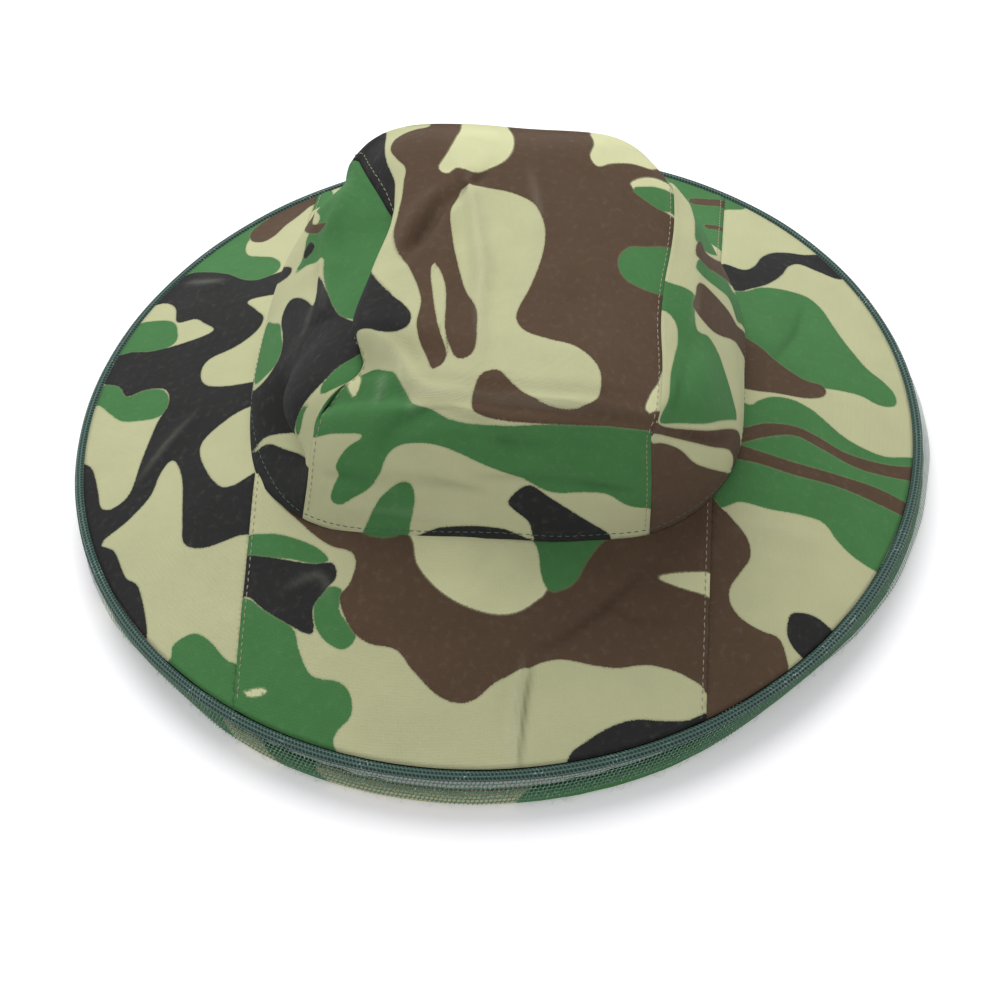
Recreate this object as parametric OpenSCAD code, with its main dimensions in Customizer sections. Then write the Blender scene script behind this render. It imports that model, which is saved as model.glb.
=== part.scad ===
// Pop-up veil hat, resting on its rim with the veil folded away under the brim.
// Origin: centre of the rim on the surface that the hat stands on. +Z is up and -Y is the front.

/* [Brim] */
// Outside diameter of the rim, over its binding
rim_d = 370; // [340:1:390]
// Height of the top of the rim above the surface it stands on
rim_h = 20; // [18:0.5:26]
// Rise of the brim towards the crown, per millimetre of run
brim_slope = 0.43; // [0.3:0.01:0.5]
// Distance of each fore-and-aft brim seam from the middle
brim_seam_x = 96; // [80:1:98]
// Thickness of the brim and crown cloth with its seams
cloth_t = 1; // [0.8:0.1:1.4]

/* [Hoop] */
// Diameter of the spring steel wire
wire_d = 2.4; // [1.6:0.1:2.6]
// Wall of the knitted binding around the wire
binding_t = 1.1; // [0.8:0.1:1.1]
// Length of the sleeve that joins the wire's two ends
sleeve_len = 26; // [16:1:40]
// Wall of that sleeve
sleeve_t = 0.6; // [0.4:0.1:0.7]

/* [Crown] */
// Half width of the crown at its hem
hem_hw = 105; // [98:0.5:108]
// Half depth of the crown at its hem
hem_hd = 94; // [88:0.5:98]
// Height of the crown's top above the surface
crown_top_z = 123; // [110:1:135]
// How far the crown leans to the right at its top
crown_lean_x = 8; // [0:0.5:12]
// How far the crown leans back at its top
crown_lean_y = 5; // [0:0.5:8]
// Distance of each crown seam from the middle of the centre strip
crown_seam_x = 72; // [60:1:74]
// Height of the sweatband
sweatband_h = 24; // [16:1:30]
// Thickness of the sweatband
sweatband_t = 1.2; // [0.8:0.1:2]

/* [Veil] */
// Thickness of the mesh band that hangs from the rim
band_t = 1.2; // [0.8:0.1:1.4]
// Width of the folded mesh under the brim
fold_w = 15; // [10:0.5:24]
// Height of the veil's hem casing
casing_h = 9.2; // [7:0.1:10]
// Width of the hem casing
casing_w = 4.2; // [3.4:0.1:6]
// Height of the elastic inside the casing
elastic_h = 5; // [4:0.1:6]
// Thickness of the elastic
elastic_t = 1.4; // [1:0.1:1.6]

/* [Stitching] */
// Diameter of the sewing thread
thread_d = 0.6; // [0.4:0.1:0.8]
// Distance from one stitch to the next
stitch_pitch = 9; // [7:0.5:14]
// Length of one stitch
stitch_len = 5; // [3:0.5:6]
// Distance of a topstitch line from its seam
topstitch = 4; // [3:0.5:6]

/* [Hidden] */

tan = [0.71, 0.73, 0.52];
green = [0.25, 0.5, 0.27];
brown = [0.34, 0.26, 0.2];
dark = [0.2, 0.2, 0.19];
mesh_green = [0.23, 0.38, 0.3];
steel = [0.6, 0.61, 0.63];
thread_colour = [0.84, 0.82, 0.72];

// Space left between pieces that touch in the real hat
gap = 0.3;
// Longer than anything in the hat, for cutting with
big = 500;
rim_r = rim_d / 2;
binding_r = wire_d / 2 + binding_t;
hoop_r = rim_r - binding_r;
hoop_z = rim_h - binding_r;
brim_edge_r = hoop_r - binding_r - gap / 2;
brim_edge_z = rim_h - gap;
band_r = rim_r - 0.4;
band_top = hoop_z - binding_r - gap;
casing_r = band_r - band_t - 2 * gap;
fold_bottom = casing_h + gap;
sleeve_angle = sleeve_len / hoop_r * 180 / PI;
sleeve_start = 90 - sleeve_angle / 2;
// Gap between the wire's two ends inside the sleeve, in degrees
wire_gap_angle = 1;
// Play around the wire and its sleeve inside the binding, and around the elastic in its channel
play = 0.05;

// The crown is a stack of superellipses. This is their power, and the number of points in each.
roundness = 3;
ring_points = 48;
// Middle of the crown's hem
hem_centre = [3, 2];
// Height that the rings' shares are counted up from
crown_base_z = 55;
crown_top_rise = crown_top_z - crown_base_z;
// Share by which the rings have turned from the sloping hem to level
level_share = 0.3;
// How fast the wall rises from the sloping hem
hem_rise = 0.6;
// Each ring is [share of the height, half width, half depth].
crown_rings = [
    [0, hem_hw, hem_hd],
    [0.3, hem_hw - 4, hem_hd - 2],
    [0.64, hem_hw - 12, hem_hd - 5],
    [0.84, hem_hw - 21, hem_hd - 9],
    [0.94, hem_hw - 31, hem_hd - 17],
    [0.985, hem_hw - 52, hem_hd - 38],
    [1, hem_hw - 85, hem_hd - 74]
];
// Share of the height at which the wall turns over into the top
wall_share = 0.84;

function brim_z(r) = brim_edge_z + (brim_edge_r - r) * brim_slope;
function power(a) = sign(a) * pow(abs(a), 2 / roundness);
function crown_hw(share) = lookup(share, [for (c = crown_rings) [c[0], c[1]]]);
function crown_hd(share) = lookup(share, [for (c = crown_rings) [c[0], c[2]]]);
function crown_cx(share) = hem_centre[0] + (crown_lean_x - hem_centre[0]) * share;
function crown_cy(share) = hem_centre[1] + (crown_lean_y - hem_centre[1]) * share;
function crown_plan(share, angle, inset) = [
    crown_cx(share) + (crown_hw(share) - inset) * power(cos(angle)),
    crown_cy(share) + (crown_hd(share) - inset) * power(sin(angle))
];
function hem_z(p) = brim_z(norm(p)) + 2 * gap;
function crown_z(share, p) = let (
        base = hem_z(p),
        level = crown_base_z + crown_top_rise * share,
        t = min(share / level_share, 1)
    ) base + (level - base) * t + crown_top_rise * share * (1 - t) * hem_rise;
function crown_point(share, angle, inset, drop) = let (p = crown_plan(share, angle, inset))
    [p[0], p[1], crown_z(share, p) - drop];
function ring_angles() = [for (i = [0:ring_points - 1]) i * 360 / ring_points];

// Whether the crown, at one share of its height, is wider than the point (x, y).
function crown_holds(share, x, y) = let (
        across = pow(abs(x - crown_cx(share)) / crown_hw(share), roundness),
        along = pow(abs(y - crown_cy(share)) / crown_hd(share), roundness)
    ) across + along <= 1;

// The share of the crown's height at which its outside passes over (x, y), found by halving.
function share_over(x, y, low = 0, high = 1, rounds = 12) = let (middle = (low + high) / 2)
    rounds == 0 ? low
    : crown_holds(middle, x, y) ? share_over(x, y, middle, high, rounds - 1)
    : share_over(x, y, low, middle, rounds - 1);

// Where a plane of constant x cuts the crown's front or back wall, at one share of its height.
function wall_y(share, x, side) = let (
        s = min(abs(x - crown_cx(share)) / crown_hw(share), 1)
    ) crown_cy(share) + side * crown_hd(share) * pow(1 - pow(s, roundness), 1 / roundness);

// A closed band: rings go up the outside and down the inside, and the last meets the first.
module band(rings) {
    n = len(rings[0]);
    count = len(rings);
    walls = [
        for (k = [0:count - 1], i = [0:n - 1]) let (j = (i + 1) % n, m = (k + 1) % count)
            each [[k * n + i, m * n + i, m * n + j], [k * n + i, m * n + j, k * n + j]]
    ];
    polyhedron([for (r = rings) each r], walls);
}

module crown_shell() {
    outside = [for (c = crown_rings) [for (a = ring_angles()) crown_point(c[0], a, 0, 0)]];
    inside = [for (c = crown_rings) [for (a = ring_angles()) crown_point(c[0], a, cloth_t, cloth_t * c[0])]];
    count = len(crown_rings);
    n = ring_points;
    outer_walls = [
        for (k = [0:count - 2], i = [0:n - 1]) let (j = (i + 1) % n)
            each [[k * n + i, (k + 1) * n + i, (k + 1) * n + j], [k * n + i, (k + 1) * n + j, k * n + j]]
    ];
    shift = count * n;
    inner_walls = [for (f = outer_walls) [f[2] + shift, f[1] + shift, f[0] + shift]];
    hem = [
        for (i = [0:n - 1]) let (j = (i + 1) % n)
            each [[i, j, j + shift], [i, j + shift, i + shift]]
    ];
    cap = [for (i = [n - 1:-1:0]) (count - 1) * n + i];
    inner_cap = [for (i = [0:n - 1]) (count - 1) * n + i + shift];
    polyhedron(
        [for (r = concat(outside, inside)) each r],
        concat(outer_walls, inner_walls, hem, [cap, inner_cap])
    );
}

// The part of the space between two planes of constant x.
module slab(x0, x1) {
    translate([x0, -big / 2, -big / 2])
        cube([x1 - x0, big, big]);
}

module crown_strip() {
    color(brown)
        intersection() {
            crown_shell();
            slab(-crown_seam_x, crown_seam_x);
        }
}

module crown_side_left() {
    color(green)
        intersection() {
            crown_shell();
            slab(-big / 2, -crown_seam_x);
        }
}

module crown_side_right() {
    color(tan)
        intersection() {
            crown_shell();
            slab(crown_seam_x, big / 2);
        }
}

// One stitch: a straight piece of thread from p to q.
module stitch(p, q) {
    d = q - p;
    long = norm(d);
    translate(p)
        rotate([0, acos(d[2] / long), atan2(d[1], d[0])])
            cylinder(h = long, d = thread_d, $fn = 16);
}

// Stitches along a route of points, one to each stretch of it.
module stitches(route) {
    share = stitch_len / stitch_pitch;
    for (i = [0:len(route) - 2])
        stitch(route[i], route[i] + (route[i + 1] - route[i]) * share);
}

// A place on the cloth, moved out so that a thread there lies clear of it.
function lifted(p, out) = p + out * (thread_d / 2 + gap / 2);

// Route of a crown seam's topstitching up the front wall (side -1) or the back wall (side 1).
function wall_route(x, side) = let (
        foot = 0.06,
        rise = wall_share - foot,
        steps = floor(crown_top_rise * rise / stitch_pitch)
    ) [
        for (i = [0:steps]) let (share = foot + i / steps * rise, y = wall_y(share, x, side))
            lifted([x, y, crown_z(share, [x, y])], [0, side, 0.4])
    ];

// Route of the same topstitching across the top, from the front edge to the back edge.
function top_route(x) = let (
        edge_share = wall_share + 0.04,
        front = wall_y(edge_share, x, -1),
        back = wall_y(edge_share, x, 1),
        steps = floor((back - front) / stitch_pitch)
    ) [
        for (i = [0:steps]) let (y = front + i / steps * (back - front))
            lifted([x, y, crown_z(share_over(x, y), [x, y])], [0, 0, 1.6])
    ];

module crown_seam_thread(x) {
    color(thread_colour) {
        stitches(wall_route(x, -1));
        stitches(top_route(x));
        stitches(wall_route(x, 1));
    }
}

module crown_seam_thread_left() {
    crown_seam_thread(topstitch - crown_seam_x);
}

module crown_seam_thread_right() {
    crown_seam_thread(crown_seam_x - topstitch);
}

// A line of stitching right round the crown, at one share of its height and one inset.
function round_route(share, inset, out) = let (
        count = floor(2 * PI * (hem_hw + hem_hd) / 2 / stitch_pitch)
    ) [
        for (i = [0:count]) let (a = i * 360 / count, p = crown_point(share, a, inset, 0))
            lifted(p, out * [cos(a), sin(a), 0])
    ];

module crown_hem_thread() {
    share = 0.07;
    color(thread_colour)
        stitches(round_route(share, 0, 1));
}

// Level of the sweatband's upper edge, as a share of the crown's height
sweatband_share = sweatband_h / crown_top_rise;
sweatband_inset = cloth_t + 2 * gap;

module sweatband() {
    lower = 0.04;
    color(dark)
        band([
            for (edge = [[lower, 0], [sweatband_share, 0], [sweatband_share, sweatband_t], [lower, sweatband_t]])
                [for (a = ring_angles()) crown_point(edge[0], a, sweatband_inset + edge[1], 0)]
        ]);
}

module sweatband_thread() {
    share = sweatband_share - 0.05;
    inset = sweatband_inset + sweatband_t + 0.2;
    color(thread_colour)
        stitches(round_route(share, inset, -1));
}

// Opening for the head, inside the crown's hem.
module head_opening() {
    allowance = 7;
    linear_extrude(height = big)
        polygon([for (a = ring_angles()) crown_plan(0, a, allowance)]);
}

module brim_shell() {
    inner_r = 60;
    difference() {
        rotate_extrude($fn = 180)
            polygon([
                [inner_r, brim_z(inner_r)],
                [brim_edge_r, brim_z(brim_edge_r)],
                [brim_edge_r, brim_z(brim_edge_r) - cloth_t],
                [inner_r, brim_z(inner_r) - cloth_t]
            ]);
        head_opening();
    }
}

module brim_centre(side) {
    intersection() {
        brim_shell();
        translate([-brim_seam_x, side > 0 ? 0 : -big, 0])
            cube([2 * brim_seam_x, big, big]);
    }
}

module brim_front_panel() {
    color(tan)
        brim_centre(-1);
}

module brim_back_panel() {
    color(green)
        brim_centre(1);
}

module brim_left_panel() {
    color(dark)
        intersection() {
            brim_shell();
            slab(-big / 2, -brim_seam_x);
        }
}

module brim_right_panel() {
    color(green)
        intersection() {
            brim_shell();
            slab(brim_seam_x, big / 2);
        }
}

// Topstitching beside a brim seam, in front of the crown and behind it.
module brim_seam_thread(x) {
    outer = sqrt(brim_edge_r * brim_edge_r - x * x) - topstitch;
    inner = 0.8 * hem_hd;
    count = floor((outer - inner) / stitch_pitch);
    color(thread_colour)
        for (side = [-1, 1])
            stitches([
                for (i = [0:count]) let (y = side * (outer - i * stitch_pitch))
                    lifted([x, y, brim_z(norm([x, y]))], [0, 0, 1.1])
            ]);
}

module brim_seam_thread_left() {
    brim_seam_thread(topstitch - brim_seam_x);
}

module brim_seam_thread_right() {
    brim_seam_thread(brim_seam_x - topstitch);
}

// A ring of square section between two radii and two heights.
module ring(r0, r1, z0, z1) {
    rotate_extrude($fn = 180)
        translate([r0, z0])
            square([r1 - r0, z1 - z0]);
}

// A ring of round section, a whole one or an arc of it that starts at the back.
module round_ring(r, z, wire_r, hole_r, start, sweep) {
    rotate([0, 0, start])
        rotate_extrude(angle = sweep, $fn = 180)
            translate([r, z])
                difference() {
                    circle(wire_r, $fn = 32);
                    circle(hole_r, $fn = 32);
                }
}

module rim_hoop() {
    color(steel)
        rotate([0, 0, 90 + wire_gap_angle / 2])
            rotate_extrude(angle = 360 - wire_gap_angle, $fn = 180)
                translate([hoop_r, hoop_z])
                    circle(wire_d / 2, $fn = 32);
}

module hoop_sleeve() {
    color(steel)
        round_ring(hoop_r, hoop_z, wire_d / 2 + sleeve_t, wire_d / 2 + 0.02, sleeve_start, sleeve_angle);
}

// The binding is a knitted tube. It widens over the hoop's sleeve.
module rim_binding() {
    hollow = wire_d / 2 + play;
    color(mesh_green) {
        round_ring(hoop_r, hoop_z, binding_r, hollow, sleeve_start + sleeve_angle, 360 - sleeve_angle);
        round_ring(hoop_r, hoop_z, binding_r, hollow + sleeve_t, sleeve_start, sleeve_angle);
    }
}

// Stitching that holds the brim cloth to the binding.
module rim_thread() {
    r = brim_edge_r - topstitch;
    count = floor(2 * PI * r / stitch_pitch);
    color(thread_colour)
        stitches([
            for (i = [0:count]) let (a = i * 360 / count)
                lifted([r * cos(a), r * sin(a), brim_z(r)], [0, 0, 1.2])
        ]);
}

module veil_band() {
    color(mesh_green)
        ring(band_r - band_t, band_r, 0, band_top);
}

// The folded mesh, as one plain ring.
module veil_mesh() {
    color(mesh_green)
        ring(casing_r - fold_w, casing_r, fold_bottom, band_top);
}

// Casing of the veil's lower edge, with a channel for the elastic.
module veil_hem() {
    wall = (casing_w - elastic_t) / 2 - play;
    lift = (casing_h - elastic_h) / 2 - play;
    color(tan)
        difference() {
            ring(casing_r - casing_w, casing_r, 0, casing_h);
            ring(casing_r - casing_w + wall, casing_r - wall, lift, casing_h - lift);
        }
}

module veil_hem_elastic() {
    middle = casing_r - casing_w / 2;
    color("white")
        ring(
            middle - elastic_t / 2,
            middle + elastic_t / 2,
            (casing_h - elastic_h) / 2,
            (casing_h + elastic_h) / 2
        );
}

// Stitching inside the hem casing's upper edge.
module veil_hem_thread() {
    r = casing_r - casing_w - thread_d / 2 - 0.1;
    below_edge = 1.4;
    count = floor(2 * PI * r / stitch_pitch);
    color(thread_colour)
        stitches([
            for (i = [0:count]) let (a = i * 360 / count)
                [r * cos(a), r * sin(a), casing_h - below_edge]
        ]);
}

crown_strip();
crown_side_left();
crown_side_right();
crown_seam_thread_left();
crown_seam_thread_right();
crown_hem_thread();
sweatband();
sweatband_thread();
brim_front_panel();
brim_back_panel();
brim_left_panel();
brim_right_panel();
brim_seam_thread_left();
brim_seam_thread_right();
rim_hoop();
hoop_sleeve();
rim_binding();
rim_thread();
veil_band();
veil_mesh();
veil_hem();
veil_hem_elastic();
veil_hem_thread();
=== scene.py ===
import math

import bmesh
import bpy
import numpy as np
from mathutils import Matrix, Vector, noise


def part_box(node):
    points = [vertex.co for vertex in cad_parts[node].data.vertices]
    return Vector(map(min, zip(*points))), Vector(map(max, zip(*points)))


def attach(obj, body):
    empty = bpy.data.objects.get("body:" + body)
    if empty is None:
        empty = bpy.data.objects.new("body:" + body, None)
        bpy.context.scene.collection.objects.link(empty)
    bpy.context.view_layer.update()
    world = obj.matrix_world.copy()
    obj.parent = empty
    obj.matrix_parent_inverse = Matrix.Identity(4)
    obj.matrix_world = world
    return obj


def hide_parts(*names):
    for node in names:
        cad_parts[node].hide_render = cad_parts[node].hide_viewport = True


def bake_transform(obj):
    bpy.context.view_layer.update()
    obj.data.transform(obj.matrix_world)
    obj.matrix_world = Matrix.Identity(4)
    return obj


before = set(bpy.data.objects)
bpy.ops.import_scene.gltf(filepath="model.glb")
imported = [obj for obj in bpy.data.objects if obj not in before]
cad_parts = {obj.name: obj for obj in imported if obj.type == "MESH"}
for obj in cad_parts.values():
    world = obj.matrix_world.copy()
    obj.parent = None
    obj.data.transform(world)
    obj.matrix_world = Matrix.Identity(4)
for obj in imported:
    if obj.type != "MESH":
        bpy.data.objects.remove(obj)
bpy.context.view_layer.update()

# All shapes below are worked out in millimetres, and MM turns them into the frame's metres.
MM = 0.001


def node_box(name):
    """Lowest and highest corner of a CAD node, in millimetres."""
    low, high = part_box(name)
    return np.array(low) / MM, np.array(high) / MM


# ---------------------------------------------------------------- sizes taken from the frame
BRIM_LOW, BRIM_HIGH = node_box("brim_left_panel")
BINDING_LOW, BINDING_HIGH = node_box("rim_binding")
MESH_LOW, MESH_HIGH = node_box("veil_mesh")
ELASTIC_LOW, ELASTIC_HIGH = node_box("veil_hem_elastic")
BAND_R = node_box("veil_band")[1][0]
CASING_R, _, CASING_TOP = node_box("veil_hem")[1]
SEAM_X = -BRIM_HIGH[0]
BRIM_R = -BRIM_LOW[0]
BRIM_EDGE_Z = BINDING_HIGH[2] - 0.5
TUBE_R = (BINDING_HIGH[2] - BINDING_LOW[2]) / 2
RING_R = BINDING_HIGH[0] - TUBE_R
RING_Z = BINDING_HIGH[2] - TUBE_R

# Rise of the brim for each millimetre inward, and the thickness of the cloth.
BRIM_SLOPE = 0.43
CLOTH = 0.5


# ---------------------------------------------------------------- camera, lights and floor
# The camera's direction from the hat (degrees), its distance and aim (metres) and its lens (millimetres).
VIEW_AZIMUTH, VIEW_ELEVATION, VIEW_ROLL = 8.0, 48.2, -5.1
VIEW_DISTANCE = 1.3
LENS = 109.2
AIM = Vector((0.0046, -0.0376, 0.020))
FLOOR_HALF = 6.0
FLOOR_DROP = 0.0003


def make_camera():
    """A camera at the photograph's angle, turned a little about its own axis."""
    data = bpy.data.cameras.new("camera")
    data.lens = LENS
    data.sensor_width = 36
    camera = bpy.data.objects.new("camera", data)
    bpy.context.collection.objects.link(camera)
    a, e, r = (math.radians(v) for v in (VIEW_AZIMUTH, VIEW_ELEVATION, VIEW_ROLL))
    back = Vector((math.sin(a) * math.cos(e), -math.cos(a) * math.cos(e), math.sin(e)))
    right = Vector((math.cos(a), math.sin(a), 0))
    up = back.cross(right)
    tilted_right = right * math.cos(r) + up * math.sin(r)
    tilted_up = up * math.cos(r) - right * math.sin(r)
    turn = Matrix((tilted_right, tilted_up, back)).transposed()
    camera.matrix_world = Matrix.Translation(AIM + back * VIEW_DISTANCE) @ turn.to_4x4()
    bpy.context.scene.camera = camera


def make_light(name, place, aim, size, power):
    data = bpy.data.lights.new(name, "AREA")
    data.shape = "DISK"
    data.size = size
    data.energy = power
    light = bpy.data.objects.new(name, data)
    bpy.context.collection.objects.link(light)
    light.location = place
    light.rotation_mode = "QUATERNION"
    light.rotation_quaternion = (Vector(place) - Vector(aim)).to_track_quat("Z", "Y")


def make_stage():
    """A plain pale floor, a soft sky and two soft lamps."""
    corners = [(x * FLOOR_HALF, y * FLOOR_HALF, 0) for x, y in ((-1, -1), (1, -1), (1, 1), (-1, 1))]
    mesh = bpy.data.meshes.new("floor")
    mesh.from_pydata(corners, [], [(0, 1, 2, 3)])
    floor = bpy.data.objects.new("floor", mesh)
    bpy.context.collection.objects.link(floor)
    floor.location.z = -FLOOR_DROP
    material = bpy.data.materials.new("floor_white")
    material.use_nodes = True
    shader = material.node_tree.nodes["Principled BSDF"]
    shader.inputs["Base Color"].default_value = (0.93, 0.93, 0.93, 1)
    shader.inputs["Emission Color"].default_value = (1, 0.98, 1, 1)
    shader.inputs["Emission Strength"].default_value = 0.18
    shader.inputs["Roughness"].default_value = 0.9
    shader.inputs["Specular IOR Level"].default_value = 0.1
    mesh.materials.append(material)

    world = bpy.data.worlds.new("world")
    world.use_nodes = True
    sky = world.node_tree.nodes["Background"]
    sky.inputs["Color"].default_value = (0.97, 0.96, 1, 1)
    sky.inputs["Strength"].default_value = 0.56
    bpy.context.scene.world = world
    bpy.context.scene.view_settings.view_transform = "Standard"
    make_light("key", (-0.35, 1.4, 1.8), (0, 0, 0.05), 2.4, 52)
    make_light("fill", (0.2, -1.4, 1.5), (0, 0, 0.05), 1.4, 4)


# ---------------------------------------------------------------- small tools
def smooth(t):
    """A share from 0 to 1 that starts and ends gently."""
    t = np.clip(t, 0, 1)
    return t * t * (3 - 2 * t)


def mix(a, b, t):
    return a + (b - a) * t


def spline(points, n, closed=False):
    """n points on a smooth curve through given points (Catmull-Rom, evenly spaced along it)."""
    p = np.array(points, float)
    if closed:
        p = np.vstack([p[-1], p, p[0], p[1]])
    else:
        p = np.vstack([2 * p[0] - p[1], p, 2 * p[-1] - p[-2]])
    t = np.linspace(0, 1, 17)[:-1, None]
    runs = []
    for a, b, c, d in zip(p, p[1:], p[2:], p[3:]):
        square = (2 * a - 5 * b + 4 * c - d) * t**2
        cube = (3 * b - a - 3 * c + d) * t**3
        runs.append(0.5 * (2 * b + (c - a) * t + square + cube))
    return resample(np.vstack([*runs, p[-2]]), n)


def resample(line, n):
    """n points evenly spaced along a polyline."""
    along = lengths(line)
    at = np.linspace(0, along[-1], n)
    return np.column_stack([np.interp(at, along, line[:, k]) for k in range(line.shape[1])])


def lengths(line):
    """How far along a line each of its points lies."""
    steps = np.linalg.norm(np.diff(line, axis=0), axis=1)
    return np.concatenate([[0], np.cumsum(steps)])


def flat_grid(x, y):
    """Every pair of the x and y values, row by row."""
    x, y = np.meshgrid(x, y)
    return np.column_stack([x.ravel(), y.ravel()])


def grid_faces(rows, columns, closed=False):
    """Quads over a grid of points stored row by row. closed joins the last column to the first."""
    faces = []
    for low in range(0, (rows - 1) * columns, columns):
        high = low + columns
        for j in range(columns if closed else columns - 1):
            k = (j + 1) % columns
            faces.append((low + j, low + k, high + k, high + j))
    return faces


def new_object(name, points, faces, material=None, cloth_xy=None):
    """A smooth mesh object from points in millimetres. cloth_xy is each point's place on the flat cloth."""
    mesh = bpy.data.meshes.new(name)
    mesh.from_pydata((np.asarray(points) * MM).tolist(), [], faces)
    mesh.shade_smooth()
    if cloth_xy is not None:
        store(mesh, "cloth", np.column_stack([cloth_xy, np.zeros(len(cloth_xy))]), "FLOAT_VECTOR")
    if material:
        mesh.materials.append(material)
    made = bpy.data.objects.new(name, mesh)
    bpy.context.collection.objects.link(made)
    return made


def store(mesh, name, values, kind="FLOAT"):
    """Keeps one value for each point of a mesh, for its material to read."""
    attribute = mesh.attributes.new(name, kind, "POINT")
    field = "value" if kind == "FLOAT" else "vector"
    attribute.data.foreach_set(field, np.asarray(values, np.float32).ravel())


def assign(piece, body, node):
    """Says which body a piece rides on, and which CAD node it takes the place of."""
    if body:
        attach(piece, body)
    if node:
        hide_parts(node)
    return piece


def thicken(piece):
    """Gives a cloth panel its thickness, on the inner side."""
    shell = piece.modifiers.new("thickness", "SOLIDIFY")
    shell.thickness = CLOTH * MM
    shell.offset = -1
    shell.use_even_offset = False


def brim_z(r):
    """Height of the brim's plain cone at a distance from the middle."""
    return BRIM_EDGE_Z + (BRIM_R - r) * BRIM_SLOPE


# ---------------------------------------------------------------- camouflage print
# Each outline is a closed smooth curve through a few places on the flat cloth, in millimetres. Layers are
# printed in this order over the pale base: green, brown, sand, leaf, black.
LAYERS = ("green", "brown", "sand", "leaf", "black")

STRIP_PRINT = {
    "green": [
        [(-80, 80), (-66, 81), (-56, 81), (-45, 76), (-35, 68), (-25, 60), (-15, 55), (-3, 53), (15, 55),
         (35, 59), (50, 63), (66, 65), (85, 64), (85, 18), (68, 18), (60, 20), (53, 25), (45, 26), (30, 26),
         (18, 31), (5, 36), (-10, 42), (-20, 44), (-28, 43), (-33, 38), (-35, 29), (-38, 23), (-45, 18),
         (-51, 14), (-56, 17), (-54, 24), (-52, 28), (-54, 33), (-50, 41), (-44, 47), (-58, 48), (-80, 49)],
        [(-40, -3), (-38, 8), (-34, 18), (-28, 24), (-23, 24), (-21, 18), (-22, 8), (-25, -3)],
        [(-60, 268), (-40, 275), (-10, 270), (10, 279), (40, 275), (60, 282), (85, 280), (85, 292),
         (50, 300), (0, 292), (-30, 300), (-60, 288)],
    ],
    "brown": [
        [(2, 57), (-3, 62), (-6, 71), (-6, 77), (-1, 79), (6, 75), (16, 69), (26, 65), (36, 65), (42, 70),
         (42, 78), (38, 88), (30, 95), (20, 97), (10, 100), (5, 106), (5, 113), (8, 125), (10, 143),
         (9, 157), (5, 167), (-1, 175), (-12, 179), (-30, 180), (-35, 174), (-38, 163), (-34, 149),
         (-28, 135), (-21, 120), (-13, 108), (-11, 97), (-13, 88), (-18, 83), (-23, 85), (-25, 96),
         (-27, 110), (-31, 123), (-38, 133), (-38, 127), (-33, 112), (-28, 97), (-26, 85), (-27, 77),
         (-31, 79), (-37, 87), (-38, 97), (-38, 110), (-42, 120), (-48, 130), (-54, 139), (-58, 151),
         (-60, 163), (-60, 178), (-59, 189), (-56, 196), (-58, 203), (-59, 211), (-56, 217), (-50, 223),
         (-44, 227), (-36, 232), (-34, 255), (-25, 264), (0, 260), (20, 267), (45, 260), (60, 266),
         (85, 262), (85, 64), (73, 65), (55, 62), (40, 59), (20, 57)],
    ],
    "sand": [
        [(-40, 192), (-37, 188), (-32, 191), (-27, 189), (-17, 193), (-10, 198), (-5, 207), (-3, 221),
         (-3, 236), (-8, 252), (-16, 252), (-21, 236), (-26, 219), (-33, 203)],
        [(30, 206), (33, 200), (38, 203), (48, 208), (58, 213), (63, 222), (72, 235), (60, 250), (44, 252),
         (36, 240), (32, 228), (32, 215)],
        [(-80, 90), (-70, 83), (-60, 73), (-57, 66), (-62, 69), (-70, 76), (-80, 80)],
        [(48, 193), (52, 200), (60, 208), (68, 217), (74, 228), (80, 226), (78, 205), (60, 190)],
        [(64, 74), (67, 72), (70, 75), (80, 80), (80, 105), (73, 99), (70, 90), (66, 82)],
    ],
    "leaf": [
        [(49, 192), (52, 189), (60, 189), (66, 193), (71, 199), (78, 205), (78, 225), (72, 216), (65, 207),
         (56, 198)],
        [(46, 150), (47, 143), (52, 138), (60, 138), (67, 141), (73, 146), (80, 148), (80, 187), (72, 177),
         (66, 170), (58, 162), (50, 157)],
    ],
    "black": [
        [(-80, 100), (-62, 100), (-55, 96), (-48, 95), (-42, 97), (-41, 103), (-46, 110), (-53, 117),
         (-58, 127), (-62, 135), (-66, 140), (-80, 145)],
        [(-80, 160), (-71, 165), (-67, 178), (-64, 194), (-63, 208), (-60, 220), (-57, 232), (-53, 242),
         (-58, 254), (-80, 254)],
        [(-22, -4), (-14, 4), (-4, 6), (6, 6), (16, 4), (24, -4)],
        [(14, 19), (17, 25), (22, 28), (29, 24), (38, 17), (46, 10), (54, 2), (50, -4), (28, -4), (24, 2),
         (22, 10), (17, 15)],
        [(-30, 283), (-15, 286), (-5, 294), (-10, 304), (-35, 304)],
    ],
}
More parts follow.
